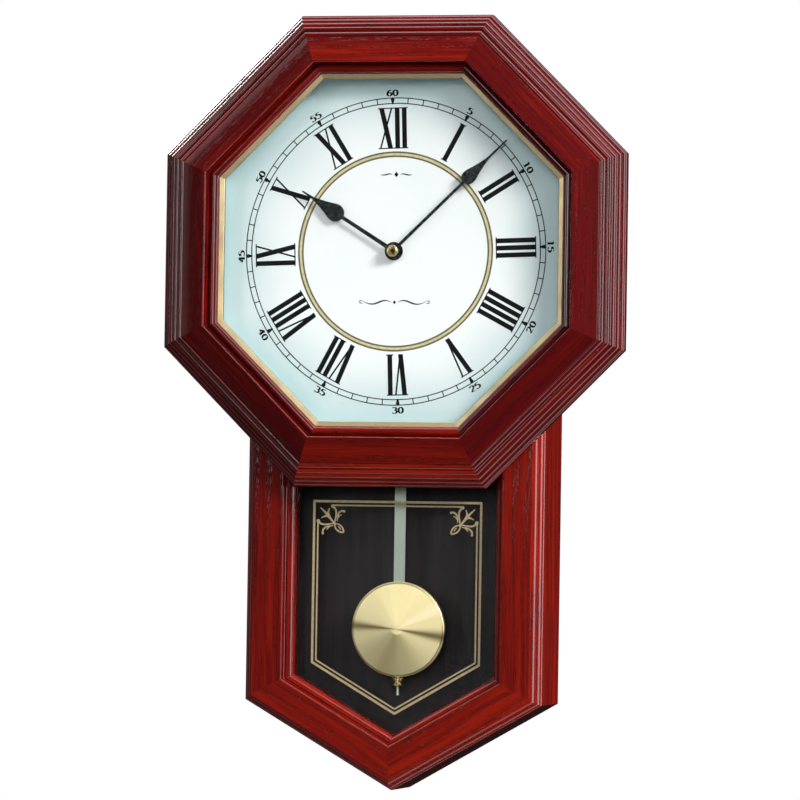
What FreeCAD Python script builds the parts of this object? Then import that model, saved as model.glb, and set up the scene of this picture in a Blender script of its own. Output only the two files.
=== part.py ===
import FreeCAD, Part
import math
import os

"""Drop-octagon wall clock with a quartz chime movement and a pendulum.

Millimetres.  +X is to the right as seen from the front, +Z is up, and the front faces -Y.
Everything is drawn with the dial axis at x = 0, z = 0 and the wall at y = 0, and is then
moved down by DIAL_DROP, which puts the origin on the wall at the centre of the keyhole.
"""

V = FreeCAD.Vector

# Octagonal bezel.  A moulding profile is a list of (inset, height[, sagitta]) points: inset runs
# from the outer edge inwards, height runs forwards from the rear face, and a sagitta makes the
# stretch that ends at the point an arc that bulges out of the wood by that much.
SIDES = 8
BEZEL_APOTHEM = 176.0
BEZEL_REAR = -73.0
SIGHT_INSET = 48.3
TRIM_INSET = 44.8
LIP_BACK, LIP_FRONT = 16.5, 18.5
GLASS_REBATE = 40.0
DIAL_REBATE = 36.0
DIAL_THICKNESS = 2.0
BEZEL_PROFILE = [
    (0, 0), (DIAL_REBATE, 0), (DIAL_REBATE, DIAL_THICKNESS), (GLASS_REBATE, DIAL_THICKNESS),
    (GLASS_REBATE, LIP_BACK), (SIGHT_INSET, LIP_BACK), (SIGHT_INSET, LIP_FRONT),
    (TRIM_INSET, LIP_FRONT), (TRIM_INSET, 21.2), (38.2, 23.4, 2.4), (37.6, 22.8), (37.0, 26.4),
    (36.8, 31.0), (35.8, 32.3, 0.3), (17.6, 23.6, 0.35), (17.0, 22.6), (13.3, 20.9, 0.9),
    (12.9, 19.9), (9.2, 18.4, 1.1), (5.7, 15.2, 1.1), (2.7, 11.6, 1.0), (0.4, 7.8, 1.0), (0, 7.3),
]
TRIM_PROFILE = [
    (TRIM_INSET, LIP_FRONT), (48.4, LIP_FRONT), (48.4, 19.6), (47.9, 20.2, 0.1), (TRIM_INSET, 20.6),
]
SPACER_PROFILE = [(40.1, 2.0), (43.6, 2.0), (43.6, 14.5), (40.1, 14.5)]
BEZEL_NAMES = ["top", "top_right", "right", "bottom_right", "bottom", "bottom_left", "left", "top_left"]
GLASS_THICKNESS = 2.0
FIT_GAP = 0.3

# Face frame that carries the bezel and goes round the pendulum window.
FRAME_HALF = 113.5
FRAME_REAR = -53.0
FRAME_THICKNESS = 20.0
FRAME_WIDTH = 36.9
FRAME_TOP = -95.0
TIP_Z = -402.0
SLANT = math.radians(30.0)
SLANT_SHARE = 0.965  # the slanted rails' width as a share of the stiles'
WINDOW_REBATE = 33.0
WINDOW_REAR, WINDOW_FRONT = 1.5, 3.5
FRAME_PROFILE = [
    (0, 0), (WINDOW_REBATE, 0), (WINDOW_REBATE, WINDOW_FRONT), (FRAME_WIDTH, WINDOW_FRONT),
    (FRAME_WIDTH, 4.8), (31.6, 12.2, 1.6), (31.0, 11.5), (30.3, 12.3), (30.2, 18.4), (29.0, 20.0, 0.4),
    (7.2, 20.0), (6.6, 18.8), (3.4, 13.4, 1.2), (0.5, 7.6, 1.3), (0, 7.0),
]
CROSS_RAIL_HEIGHT = 20.0
WINDOW_TOP = -172.0
BEAD_WIDTH, BEAD_DEPTH = 3.7, 5.0

# Case: an octagonal upper part behind the bezel, and a box behind the face frame.
BOARD, UPPER_BOARD = 10.0, 8.0
UPPER_APOTHEM = 156.0
BACK_FRONT, BACK_REAR = -26.0, -21.0
ACCESS_HALF, ACCESS_TOP, ACCESS_BOTTOM = 72.0, 48.0, -97.0
HANGING_RAIL_BOTTOM = 112.0
DIAL_DROP = 128.0
KEYHOLE_R, KEYHOLE_SLOT_R, KEYHOLE_RISE = 5.0, 2.3, 11.0
PLATE_THICKNESS = 2.0
PLATE_HALF_WIDTH, PLATE_LOW, PLATE_HIGH = 13.0, -12.0, 16.0
SCREW_HEAD_R, SCREW_SHANK_R, SCREW_HEAD = 3.2, 1.6, 2.0

# Movement housing.
HOUSING_HALF = 66.0
HOUSING_TOP, HOUSING_BOTTOM = 40.0, -62.0
HOUSING_FRONT, HOUSING_SPLIT, HOUSING_REAR = BEZEL_REAR, -53.0, -35.0
SHELL = 1.6
BAY_HALF, BAY_TOP, BAY_BOTTOM, BAY_FRONT = 57.0, -31.8, -60.2, -66.5
CELL_R, CELL_LENGTH = 13.1, 48.0
CELL_Y, CELL_Z = -51.5, -46.0
HOLDER_WALL = 1.4
CELL_CAP_R, CELL_CAP, CELL_GAP = 3.6, 1.8, 0.2
LID_THICKNESS, LID_OVERLAP, RAIL_HOOK = 1.5, 2.0, 2.2
RUNNING = 0.05

# Gear train, all on axes along Y.
PRESSURE_ANGLE = math.radians(20.0)
TOOTH_TIP, TOOTH_ROOT, TOOTH_PLAY = 0.85, 1.25, 0.12
MINUTE_MODULE, HOUR_MODULE, SETTING_MODULE = 0.5, 0.48, 0.4
CANNON_TEETH, MINUTE_TEETH = 12, 36
PINION_TEETH, HOUR_TEETH = 10, 40
CENTRE_TEETH, SETTING_TEETH = 60, 15
MINUTE_WHEEL_X = MINUTE_MODULE * (CANNON_TEETH + MINUTE_TEETH) / 2
SETTING_Z = -SETTING_MODULE * (CENTRE_TEETH + SETTING_TEETH) / 2
ARBOR_R, PIPE_R, BUSH_R = 1.75, 2.55, 4.0
PIVOT_R, POST_R = 1.0, 2.0
THREAD_R, THREAD = 1.4, 1.0
STEM_R, STEM_HOLE_R = 1.5, 1.6
# Front and rear y of each wheel and plate
HOUR_PINION_Y, HOUR_WHEEL_Y = (-71.2, -68.4), (-70.7, -69.5)
CANNON_Y, MINUTE_WHEEL_Y = (-68.6, -66.2), (-68.4, -67.0)
SETTING_Y, CENTRE_WHEEL_Y = (-65.6, -64.0), (-65.4, -64.2)
ARBOR_SHOULDER_Y, ARBOR_END_Y, BRIDGE_Y = -64.0, -60.0, (-62.0, -60.5)
BRIDGE_X, BRIDGE_Z = (-17, 25), (-22, 17)
BRIDGE_POSTS = [(-14, 13), (21, 14), (21, -14), (-13, -18)]

# Step motor.
ROTOR_X, ROTOR_Z, ROTOR_R = 20.0, 27.0, 2.8
ROTOR_Y, ROTOR_WHEEL_Y = (-70.5, -65.5), (-67.0, -64.5)
ROTOR_POST_R, ROTOR_MODULE = 0.5, 0.2
STATOR_Y, STATOR_THICKNESS, STATOR_HALF, STATOR_END = -66.0, 0.8, 6.0, 60.0
COIL_Y, COIL_X, COIL_R, BOBBIN_R = -62.2, (35.0, 53.0), 3.2, 3.6

# Hands.
HOUR_Y, MINUTE_Y, HAND_THICKNESS = -79.0, -81.8, 0.8
HOUR_ANGLE, MINUTE_ANGLE = 302.2, 46.0
HOUR_LENGTH, MINUTE_LENGTH = 84.0, 119.0
CAP_R, CAP, CAP_MOUTH_R = 4.3, 3.0, 2.3

# Pendulum.
PIVOT_Z = -70.0
ROD_Y, ROD_WIDTH, ROD_THICKNESS = -45.0, 8.5, 1.0
ROD_TOP, ROD_BOTTOM = -94.0, -312.0
PEG_Z, PEG_R, PEG = -99.0, 1.2, 3.4
HANGER_Y = (-43.9, -40.9)
BOB_R, BOB_Z = 35.6, -282.0
STUD_R, STUD_BOTTOM = 1.25, -331.5
NUT_R, NUT_TOP, NUT_HEIGHT = 4.65, -318.2, 6.4
DRIVE_HALF, DRIVE_BOTTOM = 18.0, -90.0
DRIVE_FRONT, DRIVE_REAR = -57.0, -36.0
DRIVE_COIL_Z, DRIVE_COIL_R, DRIVE_COIL_REAR = -81.0, 5.0, -48.6

# Controls on the rear of the movement.
SET_KNOB_R, SET_KNOB, GRIPS = 7.0, 4.2, 24
SELECTOR_X, VOLUME_X, CONTROL_Z = -38.0, 38.0, 27.0
SLOT_HALF_X, SLOT_HALF_Z = 7.0, 2.0
VOLUME_R, VOLUME_REACH = 6.0, 3.6
BUTTON_R, BUTTON_Z, BUTTON_REACH = 3.5, 30.0, 2.4
INSIDE = 5.0
SPEAKER_X, SPEAKER_Z, SPEAKER_R = 42.0, -6.0, 18.0
SPEAKER_Y, SPEAKER_RIM_Y, MAGNET_R, MAGNET_Y = -43.0, -40.6, 9.0, -50.0
GRILLE_R, GRILLE_PITCH, GRILLE_HALF = 14.0, 4.0, 1.0

# Circuit board on its standoffs.
BOARD_X, BOARD_Z, BOARD_Y, LAMINATE = (-63, -21), (-28, 37), -49.4, 1.6
STANDOFF_R, STANDOFFS_X, STANDOFFS_Z = 2.2, (-59, -25), (-24, 33)


def box(x0, x1, y0, y1, z0, z1):
    return Part.makeBox(x1 - x0, y1 - y0, z1 - z0, V(x0, y0, z0))


def rod_x(radius, x0, x1, y, z):
    return Part.makeCylinder(radius, x1 - x0, V(x0, y, z), V(1, 0, 0))


def rod_y(radius, y0, y1, x=0.0, z=0.0):
    return Part.makeCylinder(radius, y1 - y0, V(x, y0, z), V(0, 1, 0))


def rod_z(radius, z0, z1, x, y):
    return Part.makeCylinder(radius, z1 - z0, V(x, y, z0), V(0, 0, 1))


def fused(shapes):
    return shapes[0].multiFuse(shapes[1:]).removeSplitter()


def mirrored(shape):
    return shape.mirror(V(0, 0, 0), V(1, 0, 0))


def outline(points, place):
    """Closed wire through (a, b[, sagitta]) points, each mapped to space by place(a, b)."""
    edges = []
    for last, point in zip([points[-1]] + points[:-1], points):
        start, end = place(*last[:2]), place(*point[:2])
        if len(point) == 2:
            edges.append(Part.LineSegment(start, end).toShape())
            continue
        da, db = point[0] - last[0], point[1] - last[1]
        reach = point[2] / math.hypot(da, db)
        middle = place((last[0] + point[0]) / 2 + db * reach, (last[1] + point[1]) / 2 - da * reach)
        edges.append(Part.Arc(start, middle, end).toShape())
    return Part.Wire(edges)


def plate_y(points, y0, y1):
    """Flat plate between y0 and y1 with an outline of (x, z[, sagitta]) points."""
    face = Part.Face(outline(points, lambda x, z: V(x, y0, z)))
    return face.extrude(V(0, y1 - y0, 0))


def turned(points, x=0.0, z=0.0):
    """Solid of revolution about an axis along Y from (radius, y[, sagitta]) points."""
    face = Part.Face(outline(points, lambda radius, y: V(radius, y, 0)))
    solid = face.revolve(V(0, 0, 0), V(0, 1, 0), 360)
    solid.translate(V(x, 0, z))
    return solid


def polar(radius, degrees):
    """Point in the XZ plane; 0 degrees is +X and 90 degrees is +Z."""
    angle = math.radians(degrees)
    return V(radius * math.cos(angle), 0, radius * math.sin(angle))


def octagon_corner(apothem, index):
    """Corner of the octagon, counted clockwise from the left end of the top side."""
    step = 360.0 / SIDES
    return polar(apothem / math.cos(math.radians(step / 2)), 90 + step / 2 - step * index)


def octagon_plate(apothem, y0, y1):
    corners = [octagon_corner(apothem, index) for index in range(SIDES)]
    return plate_y([(corner.x, corner.z) for corner in corners], y0, y1)


def mitred_rail(profile, rear, outer_a, outer_b, inner_a, inner_b):
    """Moulding along outer_a to outer_b, cut off along the lines outer to inner at both ends."""
    extra = FRAME_WIDTH
    along = (outer_b - outer_a).normalize()
    across = inner_a - outer_a
    inward = (across - along * across.dot(along)).normalize()
    start = outer_a - along * extra
    length = (outer_b - outer_a).Length + 2 * extra

    def place(inset, height):
        return start + inward * inset + V(0, rear - height, 0)

    bar = Part.Face(outline(profile, place)).extrude(along * length)
    front = rear - 2 * FRAME_WIDTH
    ends = [(outer_a, inner_a), (outer_b, inner_b)]
    edge = [outer + (outer - inner) * 0.1 for outer, inner in ends]
    edge += [inner + (inner - outer) * 0.1 for outer, inner in reversed(ends)]
    return bar.common(plate_y([(point.x, point.z) for point in edge], front, rear + BOARD))


def octagon_rail(profile, index):
    inner = BEZEL_APOTHEM - SIGHT_INSET
    corners = [octagon_corner(apothem, index + end) for apothem in (BEZEL_APOTHEM, inner) for end in (0, 1)]
    return mitred_rail(profile, BEZEL_REAR, *corners)


def octagon_ring(profile):
    return fused([octagon_rail(profile, index) for index in range(SIDES)])


def gear(teeth, module, tooth_at, y0, y1, x=0.0, z=0.0):
    """Spur gear with involute flanks and one tooth centred at tooth_at degrees."""
    pitch_r = module * teeth / 2
    base_r = pitch_r * math.cos(PRESSURE_ANGLE)
    root_r, tip_r = pitch_r - TOOTH_ROOT * module, pitch_r + TOOTH_TIP * module
    half = math.pi / (2 * teeth) - TOOTH_PLAY * module / pitch_r

    def spread(radius):
        pressure = math.acos(min(1.0, base_r / radius))
        rise = math.tan(pressure) - pressure
        return math.degrees(half + math.tan(PRESSURE_ANGLE) - PRESSURE_ANGLE - rise)

    radii = [root_r, max(root_r, base_r) + 0.01, pitch_r, tip_r]
    flank = [(radius, spread(radius)) for radius in radii]
    tooth = [(radius, -angle) for radius, angle in flank] + list(reversed(flank))
    points = []
    for index in range(teeth):
        centre = tooth_at + 360.0 * index / teeth
        for radius, angle in tooth:
            point = polar(radius, centre + angle)
            points.append((x + point.x, z + point.z))
    return plate_y(points, y0, y1)


def screw(x, z, head_y, length, towards):
    """Countersunk wood screw along Y; towards is the way its point faces, +1 or -1."""
    head = Part.makeCone(SCREW_HEAD_R, SCREW_SHANK_R, SCREW_HEAD, V(x, head_y, z), V(0, towards, 0))
    shank = Part.makeCylinder(SCREW_SHANK_R, length, V(x, head_y, z), V(0, towards, 0))
    return head.fuse(shank).removeSplitter()


def wood_screws():
    """Bezel to face frame, back board to hanging rail, keyhole plate, and dial clips."""
    bezel = [screw(x, -127, FRAME_REAR, 30, -1) for x in (-94, 94)]
    back = [screw(x, DIAL_DROP, BACK_FRONT, 16, 1) for x in (-45, 45)]
    hanger = [screw(x, DIAL_DROP + z, 0, 14, -1) for x in (-9, 9) for z in (-8, 12)]
    clips = []
    for x, z in clip_places():
        reach = 1 + 3.5 / math.hypot(x, z)
        clips.append(screw(x * reach, z * reach, BEZEL_REAR + 1.0, 10, -1))
    return bezel + back + hanger + clips


def clip_places():
    """Points on the dial's edge that the clips hold."""
    edge = BEZEL_APOTHEM - DIAL_REBATE
    return [(edge, 0), (0, edge), (-edge, 0), (0, -edge)]


def dial_clips(screws):
    half, depth = 7.0, 1.0
    clips = []
    for x, z in clip_places():
        clip = box(x - half, x + half, BEZEL_REAR, BEZEL_REAR + depth, z - half, z + half)
        clips.append(clip.cut(screws))
    return Part.makeCompound(clips)


def bezel_nodes(screws):
    nodes = {}
    for index, name in enumerate(BEZEL_NAMES):
        nodes["bezel_" + name] = octagon_rail(BEZEL_PROFILE, index).cut(screws)
    nodes["dial_trim"] = octagon_ring(TRIM_PROFILE)
    nodes["dial_spacer"] = octagon_ring(SPACER_PROFILE)
    glass_front = BEZEL_REAR - LIP_BACK
    glass_apothem = BEZEL_APOTHEM - GLASS_REBATE - FIT_GAP
    nodes["dial_glass"] = octagon_plate(glass_apothem, glass_front, glass_front + GLASS_THICKNESS)
    dial_apothem = BEZEL_APOTHEM - DIAL_REBATE - FIT_GAP
    dial = octagon_plate(dial_apothem, BEZEL_REAR - DIAL_THICKNESS, BEZEL_REAR)
    nodes["dial_plate"] = dial.cut(rod_y(BUSH_R, BEZEL_REAR - BOARD, BEZEL_REAR))
    nodes["dial_clips"] = dial_clips(screws)
    return nodes


def narrowed(profile):
    return [(point[0] * SLANT_SHARE, *point[1:]) for point in profile]


def window_corners(inset):
    """Right-hand corners of the outline at an inset: the tip, then the shoulder."""
    tip = V(0, 0, TIP_Z + inset * SLANT_SHARE / math.cos(SLANT))
    half = FRAME_HALF - inset
    return tip, V(half, 0, tip.z + half * math.tan(SLANT))


def frame_nodes(screws):
    tip_out, shoulder_out = window_corners(0)
    tip_in, shoulder_in = window_corners(FRAME_WIDTH)
    top_out = V(FRAME_HALF, 0, FRAME_TOP)
    top_in = V(FRAME_HALF - FRAME_WIDTH, 0, FRAME_TOP)
    stile = mitred_rail(FRAME_PROFILE, FRAME_REAR, shoulder_out, top_out, shoulder_in, top_in)
    slant = mitred_rail(narrowed(FRAME_PROFILE), FRAME_REAR, tip_out, shoulder_out, tip_in, shoulder_in)
    half = FRAME_HALF - FRAME_WIDTH
    rail = box(-half, half, FRAME_REAR - FRAME_THICKNESS, FRAME_REAR, WINDOW_TOP,
               WINDOW_TOP + CROSS_RAIL_HEIGHT)
    stile = stile.cut(screws)
    return {
        "stile_right": stile,
        "stile_left": mirrored(stile),
        "slant_rail_right": slant,
        "slant_rail_left": mirrored(slant),
        "cross_rail": rail,
        "window_glass": window_glass(),
        "glass_beads": glass_beads(),
    }


def window_glass():
    tip, shoulder = window_corners(WINDOW_REBATE + FIT_GAP)
    points = [(0, tip.z), (shoulder.x, shoulder.z), (shoulder.x, WINDOW_TOP),
              (-shoulder.x, WINDOW_TOP), (-shoulder.x, shoulder.z)]
    return plate_y(points, FRAME_REAR - WINDOW_FRONT, FRAME_REAR - WINDOW_REAR)


def glass_beads():
    """Square strips pinned behind the glass: two upright, two along the slanted rails."""
    profile = [(0, 0), (BEAD_WIDTH, 0), (BEAD_WIDTH, BEAD_DEPTH), (0, BEAD_DEPTH)]
    inset = WINDOW_REBATE + 0.1
    tip_out, shoulder_out = window_corners(inset)
    tip_in, shoulder_in = window_corners(inset + BEAD_WIDTH)
    top_out, top_in = V(shoulder_out.x, 0, WINDOW_TOP), V(shoulder_in.x, 0, WINDOW_TOP)
    rear = FRAME_REAR - WINDOW_REAR + BEAD_DEPTH
    upright = mitred_rail(profile, rear, shoulder_out, top_out, shoulder_in, top_in)
    sloped = mitred_rail(narrowed(profile), rear, tip_out, shoulder_out, tip_in, shoulder_in)
    return Part.makeCompound([upright, sloped, mirrored(upright), mirrored(sloped)])


def keyhole(y0, y1):
    """Cutter for the keyhole: a round entry with a narrower slot that runs up from it."""
    slot = box(-KEYHOLE_SLOT_R, KEYHOLE_SLOT_R, y0, y1, DIAL_DROP, DIAL_DROP + KEYHOLE_RISE)
    seat = rod_y(KEYHOLE_SLOT_R, y0, y1, 0, DIAL_DROP + KEYHOLE_RISE)
    return fused([rod_y(KEYHOLE_R, y0, y1, 0, DIAL_DROP), slot, seat])


def upper_boards():
    """Five equal mitred boards of the octagon, and the two lower ones that end at the box."""
    profile = [(0, 0), (UPPER_BOARD, 0), (UPPER_BOARD, -BEZEL_REAR), (0, -BEZEL_REAR)]
    inner = UPPER_APOTHEM - UPPER_BOARD
    boards = []
    for index in (-2, -1, 0, 1, 2):
        corners = [octagon_corner(apothem, index + end)
                   for apothem in (UPPER_APOTHEM, inner) for end in (0, 1)]
        boards.append(mitred_rail(profile, 0, *corners))
    ends = [V(FRAME_HALF, 0, FRAME_HALF - apothem * math.sqrt(2)) for apothem in (UPPER_APOTHEM, inner)]
    starts = [octagon_corner(apothem, 3) for apothem in (UPPER_APOTHEM, inner)]
    corner = mitred_rail(profile, 0, starts[0], ends[0], starts[1], ends[1])
    return Part.makeCompound(boards), Part.makeCompound([corner, mirrored(corner)])


def back_board():
    """Plywood back let in between the boards, with the opening that reaches the movement."""
    shoulder_in = window_corners(BOARD)[1]
    apothem = UPPER_APOTHEM - UPPER_BOARD
    corners = [octagon_corner(apothem, index) for index in (3, 2, 1)]
    right = [shoulder_in, V(shoulder_in.x, 0, FRAME_TOP), V(apothem * math.sqrt(2) + FRAME_TOP, 0, FRAME_TOP)]
    points = [(point.x, point.z) for point in right + corners]
    points += [(-x, z) for x, z in reversed(points)]
    back = plate_y([(0, window_corners(BOARD)[0].z)] + points, BACK_FRONT, BACK_REAR)
    return back.cut(box(-ACCESS_HALF, ACCESS_HALF, BACK_FRONT, BACK_REAR, ACCESS_BOTTOM, ACCESS_TOP))


def case_nodes(screws):
    tip_out, shoulder_out = window_corners(0)
    tip_in, shoulder_in = window_corners(BOARD)
    side = plate_y([(FRAME_HALF, shoulder_out.z), (FRAME_HALF, FRAME_TOP), (shoulder_in.x, FRAME_TOP),
                    (shoulder_in.x, shoulder_in.z)], FRAME_REAR, 0)
    bottom = plate_y([(0, tip_out.z), (FRAME_HALF, shoulder_out.z), (shoulder_in.x, shoulder_in.z),
                      (0, tip_in.z)], FRAME_REAR, 0)
    rail_top = UPPER_APOTHEM - UPPER_BOARD
    half = octagon_corner(rail_top, 1).x
    rail = box(-half, half, BACK_REAR, 0, HANGING_RAIL_BOTTOM, rail_top)
    upper, corners = upper_boards()
    return {
        "upper_case_boards": upper,
        "lower_corner_boards": corners,
        "case_side_right": side,
        "case_side_left": mirrored(side),
        "case_bottom_boards": Part.makeCompound([bottom, mirrored(bottom)]),
        "back_board": back_board().cut(screws),
        "hanging_rail": rail.cut(hanger_pocket()).cut(screws),
        "hanger_plate": hanger_plate().cut(screws),
    }


def hanger_plate():
    plate = box(-PLATE_HALF_WIDTH, PLATE_HALF_WIDTH, -PLATE_THICKNESS, 0,
                DIAL_DROP + PLATE_LOW, DIAL_DROP + PLATE_HIGH)
    return plate.cut(keyhole(-PLATE_THICKNESS, 0))


def hanger_pocket():
    """Recess for the keyhole plate, and a deeper one behind it for the wall screw's head."""
    seat = box(-PLATE_HALF_WIDTH, PLATE_HALF_WIDTH, -PLATE_THICKNESS, 0,
               DIAL_DROP + PLATE_LOW, DIAL_DROP + PLATE_HIGH)
    clearance = KEYHOLE_R + 0.5
    deep = -PLATE_THICKNESS - BOARD
    well = box(-clearance, clearance, deep, 0, DIAL_DROP, DIAL_DROP + KEYHOLE_RISE)
    return fused([seat, well, rod_y(clearance, deep, 0, 0, DIAL_DROP),
                  rod_y(clearance, deep, 0, 0, DIAL_DROP + KEYHOLE_RISE)])


def hex_nut(radius, bore, y0, y1):
    points = [polar(radius, 60 * index) for index in range(6)]
    return plate_y([(point.x, point.z) for point in points], y0, y1).cut(rod_y(bore, y0, y1))


def housing_nodes():
    wall_in = HOUSING_HALF - SHELL
    tray = box(-HOUSING_HALF, HOUSING_HALF, HOUSING_FRONT, HOUSING_SPLIT, HOUSING_BOTTOM, HOUSING_TOP)
    tray = tray.cut(box(-wall_in, wall_in, HOUSING_FRONT + SHELL, HOUSING_SPLIT,
                        HOUSING_BOTTOM + SHELL, HOUSING_TOP - SHELL))
    floor = HOUSING_FRONT + SHELL
    post = 6
    minute_post = rod_y(PIVOT_R, floor, floor + post, MINUTE_WHEEL_X, 0)
    rotor_post = rod_y(ROTOR_POST_R, floor, floor + post, ROTOR_X, ROTOR_Z)
    tray = fused([tray, minute_post, rotor_post]).cut(rod_y(BUSH_R, HOUSING_FRONT, floor))
    cover = box(-HOUSING_HALF, HOUSING_HALF, HOUSING_SPLIT, HOUSING_REAR, HOUSING_BOTTOM, HOUSING_TOP)
    cover = cover.cut(box(-wall_in, wall_in, HOUSING_SPLIT, HOUSING_REAR - SHELL,
                          HOUSING_BOTTOM + SHELL, HOUSING_TOP - SHELL))
    cover = cover.cut(fused(rear_openings()))
    rails = [lid_rail(), mirrored(lid_rail())]
    return {
        "movement_tray": tray,
        "movement_cover": fused([cover] + rails + board_posts()),
        "battery_holder": battery_holder(),
        "batteries": batteries(),
        "battery_contacts": battery_contacts(),
        "battery_cover": battery_cover(),
    }


def rear_openings():
    """Holes through the rear wall: battery bay, knob stem, switch, volume, button and grille."""
    y0, y1 = HOUSING_REAR - SHELL, HOUSING_REAR
    holes = [
        box(-BAY_HALF, BAY_HALF, y0, y1, BAY_BOTTOM, BAY_TOP),
        rod_y(STEM_HOLE_R, y0, y1, 0, SETTING_Z),
        box(SELECTOR_X - SLOT_HALF_X, SELECTOR_X + SLOT_HALF_X, y0, y1,
            CONTROL_Z - SLOT_HALF_Z, CONTROL_Z + SLOT_HALF_Z),
        rod_y(STEM_HOLE_R, y0, y1, VOLUME_X, CONTROL_Z),
        rod_y(BUTTON_R + 0.1, y0, y1, 0, BUTTON_Z),
    ]
    for step in range(-3, 4):
        rise = GRILLE_PITCH * step
        half, z = math.sqrt(GRILLE_R ** 2 - rise ** 2), SPEAKER_Z + rise
        holes.append(box(SPEAKER_X - half, SPEAKER_X + half, y0, y1, z - GRILLE_HALF, z + GRILLE_HALF))
    return holes


def lid_rail():
    """Hooked rail that the battery cover slides in, on the right-hand side."""
    back = HOUSING_REAR + LID_THICKNESS + 4 * RUNNING
    lip = 0.9
    foot = box(BAY_HALF + RAIL_HOOK, HOUSING_HALF - 2, HOUSING_REAR, back + lip, BAY_BOTTOM, BAY_TOP)
    hook = box(BAY_HALF, BAY_HALF + RAIL_HOOK, back, back + lip, BAY_BOTTOM, BAY_TOP)
    return foot.fuse(hook)


def board_posts():
    """Standoffs from the rear wall that carry the circuit board."""
    return [rod_y(STANDOFF_R, BOARD_Y + LAMINATE, HOUSING_REAR - SHELL, x, z)
            for x in STANDOFFS_X for z in STANDOFFS_Z]


def battery_holder():
    wall = HOLDER_WALL
    shell = box(-BAY_HALF, BAY_HALF, BAY_FRONT, HOUSING_REAR, BAY_BOTTOM, BAY_TOP)
    return shell.cut(box(-BAY_HALF + wall, BAY_HALF - wall, BAY_FRONT + wall, HOUSING_REAR,
                         BAY_BOTTOM + wall / 2, BAY_TOP - wall / 2))


def batteries():
    """Two cells end to end, each with its raised positive cap."""
    cells = []
    for start in (-CELL_LENGTH - CELL_CAP - 2 * CELL_GAP, CELL_GAP):
        end = start + CELL_LENGTH
        can = rod_x(CELL_R, start, end, CELL_Y, CELL_Z)
        cells.append(fused([can, rod_x(CELL_CAP_R, end, end + CELL_CAP, CELL_Y, CELL_Z)]))
    return Part.makeCompound(cells)


def battery_contacts():
    """Flat contact at the positive end, and a coned spring at the negative end."""
    pad, stand_half, strip, wire = 5.0, 2.0, 0.5, 0.8
    touch = CELL_LENGTH + CELL_CAP + 2 * CELL_GAP
    positive = box(touch, touch + strip, CELL_Y - pad, CELL_Y + pad, CELL_Z - pad, CELL_Z + pad)
    stand = box(touch + strip, BAY_HALF - HOLDER_WALL, CELL_Y - stand_half, CELL_Y + stand_half,
                CELL_Z - stand_half, CELL_Z + stand_half)
    start = V(-BAY_HALF + HOLDER_WALL, CELL_Y, CELL_Z)
    length = -touch - start.x
    spring, hollow = (Part.makeCone(6.0 - less, 3.0 - less, length, start, V(1, 0, 0)) for less in (0, wire))
    return Part.makeCompound([positive.fuse(stand).removeSplitter(), spring.cut(hollow)])


def battery_cover():
    half, lap = BAY_HALF + LID_OVERLAP, 0.5
    y0 = HOUSING_REAR + 2 * RUNNING
    y1 = y0 + LID_THICKNESS
    lid = box(-half, half, y0, y1, BAY_BOTTOM - lap, BAY_TOP + lap)
    rib_half, rib = 9.0, 0.8
    ribs = [box(-rib_half, rib_half, y1, y1 + rib, z, z + 1)
            for z in (BAY_BOTTOM + 3 + 2 * step for step in range(5))]
    return fused([lid] + ribs)


def dial_bush():
    """Threaded bush that passes through the tray and the dial, with a flange inside the tray."""
    floor = HOUSING_FRONT + SHELL
    flange = rod_y(BUSH_R + 2, floor, floor + 0.5)
    barrel = rod_y(BUSH_R, BEZEL_REAR - DIAL_THICKNESS - 3.2, floor)
    bore = rod_y(PIPE_R + RUNNING, BEZEL_REAR - BOARD, floor + 2)
    return fused([flange, barrel]).cut(bore)


def train_nodes():
    dial_front = BEZEL_REAR - DIAL_THICKNESS
    return {
        "centre_bush": dial_bush(),
        "bush_nut": hex_nut(BUSH_R + 2, BUSH_R, dial_front - 2.4, dial_front),
        "centre_arbor": centre_arbor(),
        "minute_wheel": minute_wheel(),
        "hour_wheel": hour_wheel(),
        "train_bridge": train_bridge(),
        "set_knob": set_knob(),
    }


def centre_arbor():
    """Minute arbor with its wheel and cannon pinion, stepped down to a thread at the front."""
    shaft = rod_y(ARBOR_R, MINUTE_Y, ARBOR_SHOULDER_Y)
    thread = rod_y(THREAD_R, MINUTE_Y - HAND_THICKNESS - THREAD, MINUTE_Y)
    pivot = rod_y(PIVOT_R, ARBOR_SHOULDER_Y, ARBOR_END_Y)
    cannon = gear(CANNON_TEETH, MINUTE_MODULE, 0, *CANNON_Y)
    wheel = gear(CENTRE_TEETH, SETTING_MODULE, -90, *CENTRE_WHEEL_Y)
    return fused([shaft, thread, pivot, cannon, wheel])


def minute_wheel():
    """Intermediate wheel and pinion between the cannon pinion and the hour wheel."""
    wheel = gear(MINUTE_TEETH, MINUTE_MODULE, 180 + 180 / MINUTE_TEETH, *MINUTE_WHEEL_Y, MINUTE_WHEEL_X)
    pinion = gear(PINION_TEETH, HOUR_MODULE, 180 + 180 / PINION_TEETH, *HOUR_PINION_Y, MINUTE_WHEEL_X)
    bore = rod_y(PIVOT_R + RUNNING, HOUR_PINION_Y[0], MINUTE_WHEEL_Y[1], MINUTE_WHEEL_X)
    return fused([wheel, pinion]).cut(bore)


def hour_wheel():
    front, rear = HOUR_Y - HAND_THICKNESS, HOUR_WHEEL_Y[1]
    wheel = gear(HOUR_TEETH, HOUR_MODULE, 0, *HOUR_WHEEL_Y)
    pipe = rod_y(PIPE_R, front, rear)
    return fused([wheel, pipe]).cut(rod_y(ARBOR_R + RUNNING, front, rear))


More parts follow.
